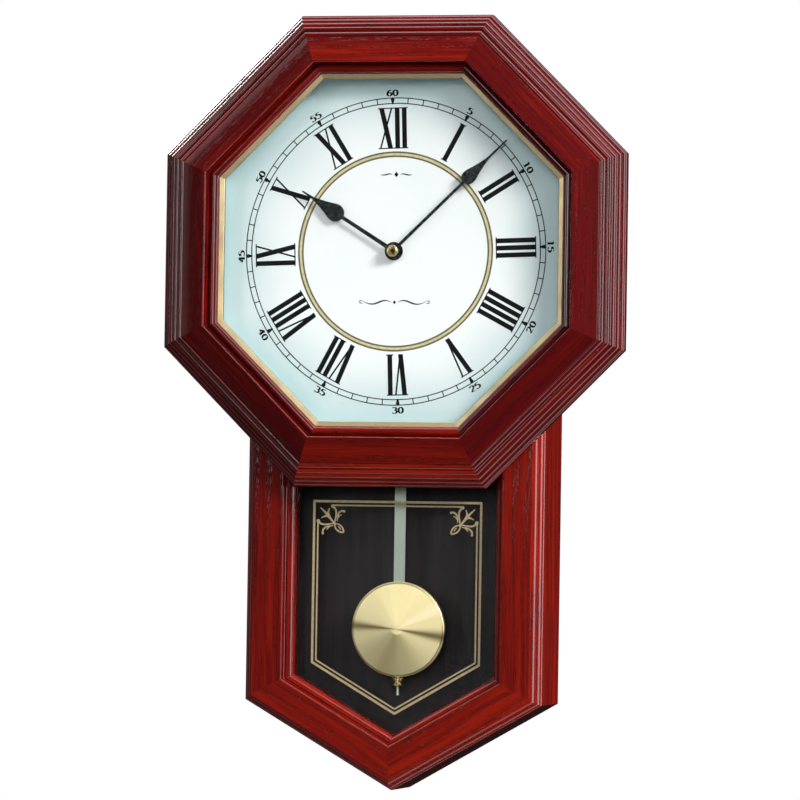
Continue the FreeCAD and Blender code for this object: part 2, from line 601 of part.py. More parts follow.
def train_bridge():
    """Rear plate of the train on four posts, with the arbor's bearing and the stem's hole."""
    plate = box(*BRIDGE_X, *BRIDGE_Y, *BRIDGE_Z)
    posts = [rod_y(POST_R, HOUSING_FRONT + SHELL, BRIDGE_Y[0], x, z) for x, z in BRIDGE_POSTS]
    bridge = fused([plate] + posts).cut(rod_y(PIVOT_R + RUNNING, *BRIDGE_Y))
    return bridge.cut(rod_y(STEM_HOLE_R, *BRIDGE_Y, 0, SETTING_Z))


def set_knob():
    """Time-setting knob on its stem, with a pinion in mesh with the centre wheel."""
    start = HOUSING_REAR + 0.4
    pinion = gear(SETTING_TEETH, SETTING_MODULE, 90 + 180 / SETTING_TEETH, *SETTING_Y, 0, SETTING_Z)
    stem = rod_y(STEM_R, SETTING_Y[0], start + 2 * RUNNING, 0, SETTING_Z)
    knob = rod_y(SET_KNOB_R, start, start + SET_KNOB, 0, SETTING_Z)
    grips = []
    for index in range(GRIPS):
        place = polar(SET_KNOB_R + 0.2, 360 / GRIPS * index)
        grips.append(rod_y(0.5, start, start + SET_KNOB, place.x, SETTING_Z + place.z))
    return fused([pinion, stem, knob.cut(fused(grips))])


def motor_nodes():
    """Step motor: a coil on its core, a two-ended stator plate, and the magnet rotor."""
    cheek, (start, end) = 1.0, COIL_X
    bobbin = [rod_x(BOBBIN_R, start - cheek, start, COIL_Y, ROTOR_Z),
              rod_x(COIL_R, start, end, COIL_Y, ROTOR_Z),
              rod_x(BOBBIN_R, end, end + cheek, COIL_Y, ROTOR_Z)]
    stator = box(ROTOR_X - STATOR_HALF, STATOR_END, STATOR_Y - STATOR_THICKNESS, STATOR_Y,
                 ROTOR_Z - STATOR_HALF, ROTOR_Z + STATOR_HALF)
    stator = stator.cut(rod_y(ROTOR_R + 2 * FIT_GAP, STATOR_Y - STATOR_THICKNESS, STATOR_Y, ROTOR_X, ROTOR_Z))
    rotor = fused([rod_y(ROTOR_R, *ROTOR_Y, ROTOR_X, ROTOR_Z),
                   gear(SETTING_TEETH, ROTOR_MODULE, 0, *ROTOR_WHEEL_Y, ROTOR_X, ROTOR_Z)])
    rotor = rotor.cut(rod_y(ROTOR_POST_R + RUNNING, ROTOR_Y[0], ROTOR_WHEEL_Y[1], ROTOR_X, ROTOR_Z))
    return {"motor_coil": fused(bobbin), "motor_stator": stator, "motor_rotor": rotor}


def circuit_board():
    """Board with its chip and a can crystal, both on the front."""
    board = box(*BOARD_X, BOARD_Y, BOARD_Y + LAMINATE, *BOARD_Z)
    chip = box(-52, -34, BOARD_Y - 2, BOARD_Y, 0, 12)
    crystal_r = 1.5
    crystal = rod_z(crystal_r, -18, -10, -45, BOARD_Y - crystal_r)
    return Part.makeCompound([board, chip, crystal])


def speaker_nodes():
    """Shallow basket with its magnet, and the paper cone inside the rim."""
    rim, floor, paper = 3.0, SPEAKER_Y + 1, 0.3
    frame = rod_y(SPEAKER_R, SPEAKER_Y, SPEAKER_RIM_Y, SPEAKER_X, SPEAKER_Z)
    frame = frame.cut(rod_y(SPEAKER_R - rim, floor, SPEAKER_RIM_Y, SPEAKER_X, SPEAKER_Z))
    magnet = rod_y(MAGNET_R, MAGNET_Y, SPEAKER_Y, SPEAKER_X, SPEAKER_Z)
    edge = SPEAKER_R - rim - 4 * RUNNING
    cone = turned([(0.0, floor), (edge, floor + 1), (edge, floor + 1 + paper), (0.0, floor + paper)],
                  SPEAKER_X, SPEAKER_Z)
    return {"speaker_frame": fused([frame, magnet]), "speaker_cone": cone}


def volume_knob():
    rear, pointer_half, groove = HOUSING_REAR, 0.5, 0.8
    front, back = rear + FIT_GAP, rear + VOLUME_REACH
    knob = fused([rod_y(STEM_R, rear - INSIDE - 1, front + FIT_GAP, VOLUME_X, CONTROL_Z),
                  rod_y(VOLUME_R, front, back, VOLUME_X, CONTROL_Z)])
    return knob.cut(box(VOLUME_X - pointer_half, VOLUME_X + pointer_half, back - groove, back,
                        CONTROL_Z + STEM_R, CONTROL_Z + VOLUME_R))


def chime_selector():
    """Slide switch with a shoe inside the rear wall that keeps it in its slot."""
    rear, inner = HOUSING_REAR, HOUSING_REAR - SHELL - 0.2
    half_x, half_z, shoe = 2.0, 1.8, 2.6
    tab = box(SELECTOR_X - half_x, SELECTOR_X + half_x, inner - 1, rear + half_z,
              CONTROL_Z - half_z, CONTROL_Z + half_z)
    base = box(SELECTOR_X - shoe, SELECTOR_X + shoe, rear - INSIDE + 1, inner,
               CONTROL_Z - shoe, CONTROL_Z + shoe)
    return fused([tab, base])


def demo_button():
    rear, collar = HOUSING_REAR, 1.2
    return fused([rod_y(BUTTON_R, rear - INSIDE, rear + BUTTON_REACH, 0, BUTTON_Z),
                  rod_y(BUTTON_R + collar, rear - INSIDE, rear - SHELL - 0.2, 0, BUTTON_Z)])


def electronics_nodes():
    return {
        "circuit_board": circuit_board(),
        **speaker_nodes(),
        "volume_knob": volume_knob(),
        "chime_selector": chime_selector(),
        "demo_button": demo_button(),
    }


def drive_housing():
    """Open-bottomed box under the movement that the pendulum hanger swings in."""
    wall = SHELL
    shell = box(-DRIVE_HALF, DRIVE_HALF, DRIVE_FRONT, DRIVE_REAR, DRIVE_BOTTOM, HOUSING_BOTTOM)
    shell = shell.cut(box(-DRIVE_HALF + wall, DRIVE_HALF - wall, DRIVE_FRONT + wall, DRIVE_REAR - wall,
                          DRIVE_BOTTOM, HOUSING_BOTTOM - wall))
    return shell.cut(rod_y(PIVOT_R + RUNNING, DRIVE_FRONT, DRIVE_REAR, 0, PIVOT_Z))


def pendulum_hanger():
    """Lever on its own axle, with the drive magnet in front and the peg for the rod below."""
    y0, y1 = HANGER_Y
    half, boss_r, magnet_r, end_play = 2.6, 3.2, 3.4, 0.2
    axle = rod_y(PIVOT_R, DRIVE_FRONT + end_play, DRIVE_REAR - end_play, 0, PIVOT_Z)
    boss = rod_y(boss_r, y0 - 1.5, y1 + 1.5, 0, PIVOT_Z)
    arm = box(-half, half, y0, y1, PEG_Z - 3, PIVOT_Z)
    magnet = rod_y(magnet_r, y0 - 3, y0, 0, DRIVE_COIL_Z)
    peg = rod_y(PEG_R, y0 - PEG, y0, 0, PEG_Z)
    return fused([axle, boss, arm, magnet, peg])


def pendulum_rod():
    """Flat strip with an eye at the top and the threaded stud at the bottom."""
    half, y0, y1 = ROD_WIDTH / 2, ROD_Y - ROD_THICKNESS / 2, ROD_Y + ROD_THICKNESS / 2
    strip = plate_y([(-half, ROD_BOTTOM), (half, ROD_BOTTOM), (half, ROD_TOP - half),
                     (-half, ROD_TOP - half, half)], y0, y1)
    eye = rod_y(PEG_R, y0, y1, 0, PEG_Z)
    stud = rod_z(STUD_R, STUD_BOTTOM, ROD_BOTTOM + 8, 0, ROD_Y)
    return fused([strip.cut(eye), stud])


def pendulum_bob():
    """Domed brass disc with a flat rear and a guide slot for the rod and stud."""
    front, rim, rear = -52.0, -47.4, -42.6
    points = [(0.0, front), (0.0, front + 1.2), (BOB_R - 4, rim + 0.8, -0.4), (BOB_R - 1, rim + 1.2),
              (BOB_R - 1, rear - 0.8), (0.0, rear - 0.8), (0.0, rear), (BOB_R, rear), (BOB_R, rim + 0.5),
              (BOB_R - 1.4, rim - 0.6, 0.3)]
    shell = turned(points, 0, BOB_Z)
    half, slack = ROD_WIDTH / 2 + 0.3, 0.4
    slot = box(-half, half, ROD_Y - 0.5 - slack, ROD_Y + 0.5 + slack, BOB_Z, BOB_Z + BOB_R + 1)
    return shell.cut(slot).cut(rod_z(STUD_R + slack, BOB_Z - BOB_R - 1, BOB_Z, 0, ROD_Y))


def rating_nut():
    """Knurled nut shaped like a spool, on the stud below the bob."""
    top, bottom = NUT_TOP, NUT_TOP - NUT_HEIGHT
    waist, flange = NUT_R - 1.3, 2.0
    points = [(0.0, top), (0.0, bottom), (NUT_R - 0.4, bottom), (NUT_R, bottom + 0.4),
              (NUT_R, bottom + flange), (waist, bottom + flange + 0.5),
              (waist, top - flange - 0.5), (NUT_R, top - flange), (NUT_R, top - 0.4), (NUT_R - 0.4, top)]
    face = Part.Face(outline(points, lambda radius, z: V(radius, ROD_Y, z)))
    spool = face.revolve(V(0, ROD_Y, 0), V(0, 0, 1), 360)
    return spool.cut(rod_z(STUD_R + RUNNING, bottom, top, 0, ROD_Y))


def pendulum_nodes():
    return {
        "pendulum_drive": drive_housing(),
        "drive_coil": rod_y(DRIVE_COIL_R, DRIVE_FRONT + SHELL, DRIVE_COIL_REAR, 0, DRIVE_COIL_Z),
        "pendulum_hanger": pendulum_hanger(),
        "pendulum_rod": pendulum_rod(),
        "pendulum_bob": pendulum_bob(),
        "rating_nut": rating_nut(),
    }


def hand(length, drop_at, drop, tip_half, stem, hub_r, bore, rear, angle):
    """Hand with a teardrop on a slim stem, drawn pointing up and turned clockwise by angle.

    drop is the teardrop's length and half width; stem is the stem's half width at hub and drop.
    """
    drop_length, drop_half = drop
    root, tip = hub_r * 0.8, tip_half * 1.6
    shoulder, waist, end = (drop_at + share * drop_length for share in (0.24, 0.42, 1.0))
    waist_half, round_out, side_out, neck_in = drop_half * 0.8, 0.054 * drop_length, 0.25, -0.35
    right = [(stem[0], root), (stem[1], drop_at), (drop_half, shoulder, round_out),
             (waist_half, waist, side_out), (tip, end, neck_in), (tip_half, length)]
    left = [(-tip_half, length), (-tip, end), (-waist_half, waist, neck_in), (-drop_half, shoulder, side_out),
            (-stem[1], drop_at, round_out), (-stem[0], root)]
    blade = plate_y(right + left, rear - HAND_THICKNESS, rear)
    hub = rod_y(hub_r, rear - HAND_THICKNESS, rear)
    whole = fused([blade, hub]).cut(rod_y(bore, rear - HAND_THICKNESS, rear))
    whole.rotate(V(0, 0, 0), V(0, 1, 0), angle)
    return whole


def hand_nodes():
    hour = hand(HOUR_LENGTH, 47.0, (28.0, 6.6), 0.55, (1.6, 1.35), 6.9, PIPE_R, HOUR_Y, HOUR_ANGLE)
    minute = hand(MINUTE_LENGTH, 73.5, (26.0, 5.2), 0.55, (1.2, 1.05), 5.4, THREAD_R, MINUTE_Y, MINUTE_ANGLE)
    front, rear = MINUTE_Y - HAND_THICKNESS - CAP, MINUTE_Y - HAND_THICKNESS
    cap = turned([(THREAD_R, rear), (THREAD_R, front + 1.2), (CAP_MOUTH_R, front), (CAP_R - 1.2, front),
                  (CAP_R, front + 1.4, 0.4), (CAP_R, rear)])
    return {"hour_hand": hour, "minute_hand": minute, "hand_nut": cap}


def main():
    os.makedirs("parts", exist_ok=True)
    screws = Part.makeCompound(wood_screws())
    nodes = {"wood_screws": screws}
    nodes.update(bezel_nodes(screws))
    nodes.update(frame_nodes(screws))
    nodes.update(case_nodes(screws))
    nodes.update(housing_nodes())
    nodes.update(train_nodes())
    nodes.update(motor_nodes())
    nodes.update(electronics_nodes())
    nodes.update(pendulum_nodes())
    nodes.update(hand_nodes())
    for name, shape in nodes.items():
        placed = shape.copy()
        placed.translate(V(0, 0, -DIAL_DROP))
        placed.exportStep(os.path.join("parts", name + ".step"))
        print(name, len(placed.Solids), "solids", round(placed.Volume), "mm3", placed.isValid())


main()
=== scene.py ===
import math

import bmesh
import bpy
from mathutils import Matrix, Vector
from mathutils.geometry import delaunay_2d_cdt


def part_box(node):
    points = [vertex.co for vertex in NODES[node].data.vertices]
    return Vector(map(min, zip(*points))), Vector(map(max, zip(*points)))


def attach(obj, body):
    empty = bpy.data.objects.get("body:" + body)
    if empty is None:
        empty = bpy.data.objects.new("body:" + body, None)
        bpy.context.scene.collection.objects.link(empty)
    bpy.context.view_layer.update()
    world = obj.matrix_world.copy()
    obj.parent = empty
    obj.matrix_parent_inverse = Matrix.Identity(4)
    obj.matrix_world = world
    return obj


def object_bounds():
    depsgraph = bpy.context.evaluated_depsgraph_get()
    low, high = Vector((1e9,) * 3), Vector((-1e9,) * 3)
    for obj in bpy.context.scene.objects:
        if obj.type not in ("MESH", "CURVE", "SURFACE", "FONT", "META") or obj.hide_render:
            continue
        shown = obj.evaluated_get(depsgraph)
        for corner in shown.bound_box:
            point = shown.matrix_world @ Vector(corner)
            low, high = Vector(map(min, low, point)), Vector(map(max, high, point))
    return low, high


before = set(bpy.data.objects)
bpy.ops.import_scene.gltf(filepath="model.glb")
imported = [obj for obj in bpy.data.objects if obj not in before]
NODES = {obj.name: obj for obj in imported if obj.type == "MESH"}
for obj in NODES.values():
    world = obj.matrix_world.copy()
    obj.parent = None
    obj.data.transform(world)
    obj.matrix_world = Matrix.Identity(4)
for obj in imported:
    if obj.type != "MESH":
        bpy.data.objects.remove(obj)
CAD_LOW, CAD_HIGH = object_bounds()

MM = 0.001

# Places, all read from the frame
DIAL_LOW, DIAL_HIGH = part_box("dial_plate")
AXIS_X = (DIAL_LOW.x + DIAL_HIGH.x) / 2
AXIS_Z = (DIAL_LOW.z + DIAL_HIGH.z) / 2
DIAL_FRONT = DIAL_LOW.y
PANE_LOW, PANE_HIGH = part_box("window_glass")
BOB_LOW, BOB_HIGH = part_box("pendulum_bob")

# Dial print, radii and sizes in mm about the dial's axis
INK_HEIGHT, INK_SINK, RING_RAISE = 0.06, 0.02, 0.03
NUMERAL_INNER, NUMERAL_OUTER = 76.8, 107.6
STEM, HAIRLINE = 3.6, 1.25
SERIF, OVERHANG = 0.85, 0.85
PITCH_I, WIDTH_V, WIDTH_X = 5.4, 11.0, 12.0
NUMERALS = ["XII", "I", "II", "III", "IIII", "V", "VI", "VII", "VIII", "IX", "X", "XI"]
TRACK_INNER, TRACK_OUTER, TRACK_LINE = 110.7, 114.8, 0.75
DIGIT_RADIUS, DIGIT_HEIGHT, DIGIT_STRETCH = 118.6, 4.8, 1.55
ADVANCE, NIB_THIN, NIB_SWELL = 0.62, 0.10, 0.12  # in digit heights
UPPER_FLOURISH, LOWER_FLOURISH = 57.5, -38
RING_INNER, RING_OUTER, RING_EDGE = 70.5, 74.8, 1.3
PRINT_TWIST = -1.9  # degrees, the plate sits a little anticlockwise in its case

# Border print on the lower pane, in mm from the pane's top corners and its point
BORDER_HALF = 64.2
BORDER_TOP = 14.8
BORDER_LINE, BORDER_GAP, INNER_LINE = 1.75, 2.95, 1.15
BORDER_SHOULDER = 135.7
BORDER_POINT = 173.0
CORNER_GAP = 11.6  # left out of the inner line at each ornament


# ---------------------------------------------------------------- materials

class Nodes:
    """Short calls to build a node tree."""

    def __init__(self, owner):
        owner.use_nodes = True
        self.tree = owner.node_tree

    def node(self, kind, inputs=None, **settings):
        made = self.tree.nodes.new("ShaderNode" + kind)
        for key, value in settings.items():
            setattr(made, key, value)
        for key, value in (inputs or {}).items():
            self.put(made.inputs[key], value)
        return made

    def put(self, socket, value):
        if isinstance(value, bpy.types.NodeSocket):
            self.tree.links.new(value, socket)
        else:
            socket.default_value = value

    def noise(self, vector, scale=1.0, detail=2.0, rough=0.5):
        made = self.node("TexNoise", {"Vector": vector, "Scale": scale, "Detail": detail,
                                      "Roughness": rough, "Distortion": 0.0})
        return made.outputs["Fac"]

    def math(self, operation, a, b=0.0, c=0.0, clamp=False):
        made = self.node("Math", {0: a, 1: b, 2: c}, operation=operation, use_clamp=clamp)
        return made.outputs[0]

    def span(self, value, low, high, to_low=0.0, to_high=1.0):
        made = self.node("MapRange", {"Value": value, "From Min": low, "From Max": high,
                                      "To Min": to_low, "To Max": to_high})
        return made.outputs["Result"]

    def mix(self, factor, a, b):
        """Mix two colours, given as sockets or as red, green and blue."""
        made = self.node("Mix", {"Factor": factor}, data_type="RGBA", blend_type="MIX")
        self.put(made.inputs[6], a if isinstance(a, bpy.types.NodeSocket) else (*a, 1))
        self.put(made.inputs[7], b if isinstance(b, bpy.types.NodeSocket) else (*b, 1))
        return made.outputs[2]

    def blend(self, factor, first, second, output):
        """Mix two shaders into the tree's output."""
        mixed = self.node("MixShader", {0: factor, 1: first.outputs[0], 2: second.outputs[0]})
        self.put(self.tree.nodes[output].inputs["Surface"], mixed.outputs[0])


class Look(Nodes):
    """A material."""

    def __init__(self, name):
        self.material = bpy.data.materials.new(name)
        super().__init__(self.material)
        self.shader = self.tree.nodes["Principled BSDF"]
        self.place = self.node("TexCoord").outputs["Object"]

    def set(self, **values):
        for key, value in values.items():
            self.put(self.shader.inputs[key.replace("_", " ")], value)

    def along(self, angle=0.0, scale=(1, 1, 1), offset=(0, 0, 0), source=None):
        """Coordinates turned about Y, so that X runs at that angle, then stretched."""
        turned = self.node("Mapping", {"Vector": source or self.place, "Location": offset,
                                       "Rotation": (0, math.radians(angle), 0)})
        return self.node("Mapping", {"Vector": turned.outputs[0], "Scale": scale}).outputs[0]

    def bump(self, height, distance):
        return self.node("Bump", {"Height": height, "Distance": distance,
                                  "Strength": 1.0}).outputs["Normal"]


# How far the grain's noises are stretched along, through and across it
DRIFT, STREAKS, CLOUDS, PORES = (5, 9, 16), (22, 420, 700), (4, 40, 55), (150, 1500, 1900)
RING_PITCH, BOARD_RING_PITCH = 0.0085, 0.012
LACQUER_ROUGHNESS = 0.07
GLASS_SHINE = 0.35
WOOD_DARK = (0.036, 0.0011, 0.0013)
WOOD_MID = (0.098, 0.0020, 0.0019)
WOOD_LIGHT = (0.205, 0.0080, 0.0018)
WOOD_PORE = (0.008, 0.0005, 0.0009)


def wrapped_grain(look):
    """Coordinates that follow the boards round the octagon, a new direction every 45 degrees."""
    x, y, z = look.node("SeparateXYZ", {0: look.along(offset=(-AXIS_X, 0, -AXIS_Z))}).outputs
    eighth = math.pi / 4
    side = look.math("ROUND", look.math("DIVIDE", look.math("ARCTAN2", z, x), eighth))
    turn = look.math("MULTIPLY", side, eighth)
    sine, cosine = look.math("SINE", turn), look.math("COSINE", turn)
    out = look.math("MULTIPLY_ADD", x, cosine, look.math("MULTIPLY", z, sine))
    run = look.math("SUBTRACT", look.math("MULTIPLY", z, cosine), look.math("MULTIPLY", x, sine))
    return look.node("CombineXYZ", {"X": run, "Y": y, "Z": out}).outputs[0]


def wood(name, angle, seed, tone):
    """Stained, lacquered open-grained wood whose grain runs at that angle from X, or round the case."""
    look = Look(name)
    shift = (seed * 0.371, seed * 0.113, seed * 0.257)
    source = wrapped_grain(look) if angle is None else look.place
    grain = look.along(angle or 0, offset=shift, source=source)
    drift = look.noise(look.along(source=grain, scale=DRIFT), detail=2)
    parts = look.node("SeparateXYZ", {0: grain})
    across = look.math("MULTIPLY_ADD", drift, 0.030, parts.outputs["Z"])
    across = look.math("MULTIPLY_ADD", parts.outputs["Y"], 0.6, across)
    ring = look.math("SINE", look.math("MULTIPLY", across, 2 * math.pi / RING_PITCH))
    band = look.span(ring, -0.2, 0.9)
    streak = look.noise(look.along(source=grain, scale=STREAKS), detail=3, rough=0.6)
    broad = look.noise(look.along(source=grain, scale=CLOUDS), detail=2)
    pore = look.span(look.noise(look.along(source=grain, scale=PORES), detail=2, rough=0.55), 0.55, 0.68)
    pore = look.math("MULTIPLY", pore, look.span(band, 0.0, 1.0, 0.25, 1.0))
    tone_mix = look.math("ADD", look.span(streak, 0.3, 0.7, -0.17, 0.17),
                         look.span(broad, 0.3, 0.7, tone - 0.15, tone + 0.15), clamp=True)
    colour = look.mix(tone_mix, WOOD_DARK, WOOD_MID)
    colour = look.mix(look.span(tone_mix, 0.45, 1.0), colour, WOOD_LIGHT)
    colour = look.mix(look.math("MULTIPLY", band, 0.3), colour, WOOD_DARK)
    colour = look.mix(look.math("MULTIPLY", pore, 0.85), colour, WOOD_PORE)
    rough = look.span(streak, 0.3, 0.7, LACQUER_ROUGHNESS + 0.22, LACQUER_ROUGHNESS + 0.34)
    ripple = look.math("MULTIPLY_ADD", look.noise(grain, scale=90, detail=1), 0.6,
                       look.math("MULTIPLY", pore, -0.6))
    dents = look.bump(ripple, 0.00004)
    look.set(Base_Color=colour, Roughness=rough, Normal=dents, Coat_Normal=dents,
             Coat_Weight=1.0, Coat_Roughness=LACQUER_ROUGHNESS, Specular_IOR_Level=0.02)
    return look.material


def board(name, light, dark, angle=90.0, rough=0.6):
    """Plain sawn board without lacquer."""
    look = Look(name)
    grain = look.along(angle)
    drift = look.noise(look.along(source=grain, scale=(3, 8, 12)), detail=2)
    across = look.math("MULTIPLY_ADD", drift, 0.03, look.node("SeparateXYZ", {0: grain}).outputs["Z"])
    ring = look.math("SINE", look.math("MULTIPLY", across, 2 * math.pi / BOARD_RING_PITCH))
    fibre = look.noise(look.along(source=grain, scale=(22, 500, 700)), detail=3)
    tone = look.math("MULTIPLY_ADD", ring, 0.09, fibre, clamp=True)
    look.set(Base_Color=look.mix(look.span(tone, 0.25, 0.8), dark, light),
             Roughness=look.span(fibre, 0.3, 0.7, rough - 0.08, rough + 0.1),
             Normal=look.bump(fibre, 0.00008), Specular_IOR_Level=0.3)
    return look.material


def metal(name, colour, rough=0.3, brush=(900, 900, 900), tarnish=0.25):
    """Bare or plated metal. brush is the stretch of its fine marks."""
    look = Look(name)
    marks = look.noise(look.along(scale=brush), detail=3, rough=0.6)
    cloud = look.noise(look.along(), scale=45, detail=3)
    dull = tuple(c * (1 - tarnish) for c in colour)
    look.set(Metallic=1.0, Base_Color=look.mix(look.span(cloud, 0.35, 0.75), colour, dull),
             Roughness=look.math("ADD", look.span(marks, 0.3, 0.7, rough - 0.07, rough + 0.07),
                                 look.span(cloud, 0.3, 0.8, -0.02, 0.08)),
             Normal=look.bump(marks, 0.00002))
    return look.material


def plastic(name, colour, rough=0.45, grain=0.00004, size=1500):
    """Moulded plastic with a fine spark-eroded texture."""
    look = Look(name)
    cells = look.node("TexVoronoi", {"Vector": look.along(), "Scale": size},
                      feature="SMOOTH_F1").outputs[0]
    cloud = look.noise(look.along(), scale=60, detail=4)
    pale = tuple(min(1.0, c * 1.25 + 0.004) for c in colour)
    deep = tuple(c * 0.82 for c in colour)
    look.set(Base_Color=look.mix(look.span(cloud, 0.3, 0.7), deep, pale),
             Roughness=look.span(cloud, 0.3, 0.7, rough - 0.06, rough + 0.08),
             Normal=look.bump(cells, grain), Specular_IOR_Level=0.5)
    return look.material


def clear_glass(name, tint):
    """A thin pane: it lets light straight through and adds a faint reflection."""
    look = Look(name)
    look.tree.nodes.remove(look.shader)
    through = look.node("BsdfTransparent", {"Color": (*tint, 1)})
    smear = look.noise(look.along(), scale=25, detail=3)
    film = look.node("BsdfGlossy", {"Color": (1, 1, 1, 1),
                                    "Roughness": look.span(smear, 0.3, 0.8, 0.015, 0.05)})
    fresnel = look.node("Fresnel", {"IOR": 1.3})
    share = look.math("MULTIPLY", fresnel.outputs[0], GLASS_SHINE, clamp=True)
    look.blend(share, through, film, "Material Output")
    return look.material


def dial_white():
    """Matt white dial with a fine print tooth, and a painted shade that makes it cooler and greyer towards
    its eight edges, where the bezel shades it.
    """
    look = Look("dial_white")
    place = look.along(offset=(-AXIS_X, 0, -AXIS_Z))
    parts = look.node("SeparateXYZ", {0: place})
    x, z = (look.math("ABSOLUTE", parts.outputs[k]) for k in ("X", "Z"))
    slanted = look.math("MULTIPLY", look.math("ADD", x, z), math.sqrt(0.5))
    reach = look.math("MAXIMUM", look.math("MAXIMUM", x, z), slanted)
    cloud = look.noise(place, scale=14, detail=3)
    reach = look.math("MULTIPLY_ADD", cloud, 0.010, reach)
    # edge masks a painted shade: the dial darkens to a cool grey towards the bezel's eight sides
    edge = look.math("POWER", look.span(reach, 0.082, 0.140), 1.3)
    tooth = look.noise(place, scale=2600, detail=2)
    white = look.mix(look.span(cloud, 0.35, 0.7), (0.90, 0.925, 0.93), (0.86, 0.90, 0.905))
    # The grey-cyan mixed in by edge is painted shade, not a tint of the plate
    look.set(Base_Color=look.mix(edge, white, (0.38, 0.56, 0.57)),
             Roughness=look.span(tooth, 0.3, 0.7, 0.55, 0.68), Normal=look.bump(tooth, 0.00001),
             Specular_IOR_Level=0.25)
    return look.material


def ink(name, colour, rough, shine=0.5):
    """Screen-printed ink with a slight mottle."""
    look = Look(name)
    mottle = look.noise(look.along(), scale=420, detail=3)
    worn = tuple(min(1.0, c * 1.35 + 0.004) for c in colour)
    look.set(Base_Color=look.mix(look.span(mottle, 0.4, 0.75), colour, worn), Specular_IOR_Level=shine,
             Roughness=look.span(mottle, 0.3, 0.7, rough - 0.08, rough + 0.08),
             Normal=look.bump(mottle, 0.00001))
    return look.material


# Direction in degrees, sharpness and tint of each painted reflection fan on the bob: the bright ones are
# painted highlights, the dark ones painted dark reflections
BOB_PAINTED_REFLECTIONS = [(28, 90, (1.0, 0.80, 0.50)), (-9, 130, (0.20, 0.14, 0.06)),
            (176, 160, (0.24, 0.18, 0.08)), (208, 60, (0.80, 0.70, 0.40))]


def bob_brass():
    """Spun brass: grooves run round the bob's centre, and its bright and dark fans are a painted reflection
    in the colour.
    """
    look = Look("bob_brass")
    centre = (BOB_LOW + BOB_HIGH) / 2
    place = look.along(offset=(-centre.x, 0, -centre.z))
    parts = look.node("SeparateXYZ", {0: place})
    x, z = parts.outputs["X"], parts.outputs["Z"]
    radius = look.math("SQRT", look.math("ADD", look.math("MULTIPLY", x, x), look.math("MULTIPLY", z, z)))
    angle = look.math("ARCTAN2", z, x)
    fan = look.node("CombineXYZ", {"X": look.math("COSINE", angle), "Y": look.math("SINE", angle),
                                   "Z": look.math("MULTIPLY", radius, 4.0)}).outputs[0]
    # Angular streaks mixed into the colour: a painted reflection of the spun finish
    painted_streaks = look.noise(fan, scale=2.0, detail=2, rough=0.5)
    pitch = look.node("CombineXYZ", {"X": look.math("MULTIPLY", radius, 4200.0)}).outputs[0]
    grooves = look.noise(pitch, detail=2)
    colour = look.mix(look.span(painted_streaks, 0.32, 0.68), (0.80, 0.67, 0.35), (0.90, 0.77, 0.44))
    # Each fan is a painted reflection: a bright highlight or a dark streak laid into the colour
    for degrees, sharpness, tint in BOB_PAINTED_REFLECTIONS:
        away = look.math("SUBTRACT", angle, math.radians(degrees))
        painted_lobe = look.math("MAXIMUM", look.math("COSINE", away), 0.0)
        colour = look.mix(look.math("POWER", painted_lobe, sharpness), colour, tint)
    tangent = look.node("Tangent", direction_type="RADIAL", axis="Y")
    look.set(Metallic=1.0, Base_Color=colour, Anisotropic=0.3, Tangent=tangent.outputs[0],
             Roughness=look.span(grooves, 0.3, 0.7, 0.40, 0.50), Normal=look.bump(grooves, 0.00001))
    return look.material


RAIL_ANGLES = {"top": 0, "top_right": -45, "right": -90, "bottom_right": 45,
               "bottom": 0, "bottom_left": -45, "left": 90, "top_left": 45}
RAIL_TONES = {"top": 0.62, "bottom": 0.78, "left": 0.40, "right": 0.34, "top_left": 0.5,
              "top_right": 0.36, "bottom_left": 0.42, "bottom_right": 0.40}
SLANT = 30  # degrees, the slope of the lower rails and of the border's point


def wood_nodes():
    """Grain direction, seed and tone of every stained piece."""
    for n, (side, angle) in enumerate(RAIL_ANGLES.items()):
        yield "bezel_" + side, angle, n + 1, RAIL_TONES[side]
    # The right-hand stile, slant rail and case side have lighter tones than the left-hand ones: painted
    # light, as light falls on the case from the right
    yield "stile_left", 90, 11, 0.6
    yield "stile_right", 90, 12, 0.72
    yield "slant_rail_left", -SLANT, 13, 0.75
    yield "slant_rail_right", SLANT, 14, 0.85
    yield "cross_rail", 0, 15, 0.5
    yield "glass_beads", 90, 16, 0.4
    yield "upper_case_boards", None, 17, 0.5
    yield "lower_corner_boards", None, 18, 0.5
    yield "case_side_left", 90, 19, 0.5
    yield "case_side_right", 90, 20, 0.75
    yield "case_bottom_boards", SLANT, 21, 0.2


def dress(node, material):
    slots = NODES[node].data.materials
    slots.clear()
    slots.append(material)


